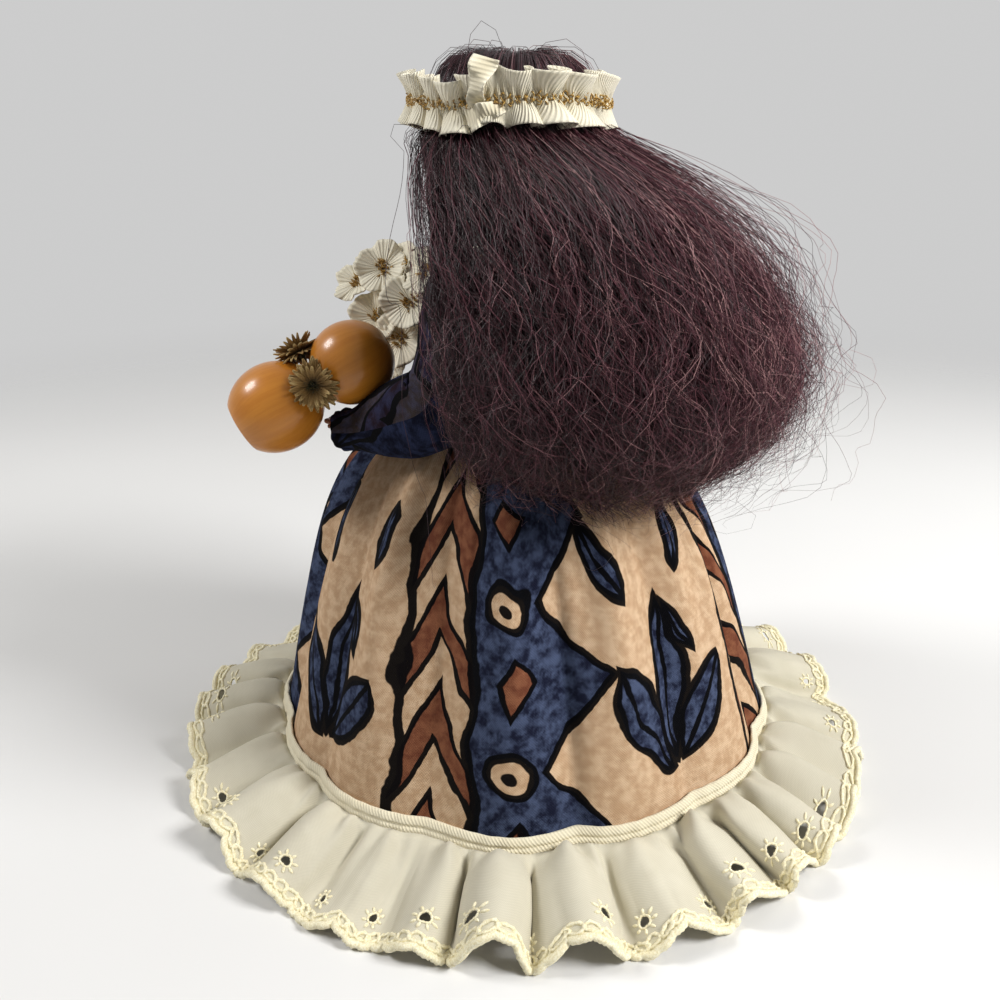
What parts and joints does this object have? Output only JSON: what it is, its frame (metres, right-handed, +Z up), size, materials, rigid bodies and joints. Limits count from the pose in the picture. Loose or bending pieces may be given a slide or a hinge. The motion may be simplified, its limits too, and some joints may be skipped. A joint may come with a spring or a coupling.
{
  "type": "kneeling hula doll",
  "caption": "Kneeling souvenir hula doll in a printed bell dress with eyelet hem, ribbon leis and long frizzy hair, holding a gourd drum; head turns and arms swing.",
  "frame": {"origin": "the middle of the hem ruffle, on the surface the doll kneels on", "axes": "+Z up, the doll faces -Y, her left hand is at +X"},
  "size_m": [0.1714, 0.1714, 0.1651],
  "materials": {
    "skin_vinyl": "satin moulded vinyl, warm brown",
    "elastic": "woven cream elastic cord",
    "print_cotton": "plain-weave cotton, sand ground with navy and rust print",
    "ivory_tape": "ribbed cotton tape",
    "eyelet_lawn": "sheer cotton lawn with embroidered eyelets and scallops",
    "ivory_ribbon": "ribbed ivory ribbon gathered on a gold-brown thread",
    "nylon_hair": "frizzy dark plum-brown nylon strands",
    "varnished_wood": "glossy honey varnish on turned wood",
    "plain_wood": "bare turned dowel",
    "dried_flower": "dry olive-brown pleated petals"
  },
  "bodies": {
    "body": {"torso_front": "skin_vinyl", "torso_back": "skin_vinyl", "shoulder_elastic": "elastic", "left_leg": "skin_vinyl", "right_leg": "skin_vinyl", "dress_skirt": "print_cotton", "dress_bodice": "print_cotton", "hem_tape": "ivory_tape", "eyelet_ruffle": "eyelet_lawn", "neck_lei": "ivory_ribbon"},
    "head": {"head": "skin_vinyl", "hair_crown": "nylon_hair", "hair_fall": "nylon_hair", "head_lei": "ivory_ribbon"},
    "left_arm": {"left_arm": "skin_vinyl", "left_sleeve": "print_cotton", "ipu_lower_gourd": "varnished_wood", "ipu_upper_gourd": "varnished_wood", "ipu_dowel": "plain_wood", "ipu_flower_1": "dried_flower", "ipu_flower_2": "dried_flower"},
    "right_arm": {"right_arm": "skin_vinyl", "right_sleeve": "print_cotton"}
  },
  "joints": [
    {"name": "neck_turn", "type": "hinge", "parent": "body", "child": "head", "pos_m": [0, -0.003, 0.133], "axis": [0, 0, 1], "range_deg": [-40, 40], "deforming": ["hair_fall"]},
    {"name": "left_shoulder", "type": "hinge", "parent": "body", "child": "left_arm", "pos_m": [0.0173, -0.003, 0.117], "axis": [-1, 0, 0], "range_deg": [0, 60]},
    {"name": "right_shoulder", "type": "hinge", "parent": "body", "child": "right_arm", "pos_m": [-0.0173, -0.003, 0.117], "axis": [-1, 0, 0], "range_deg": [0, 60]}
  ]
}
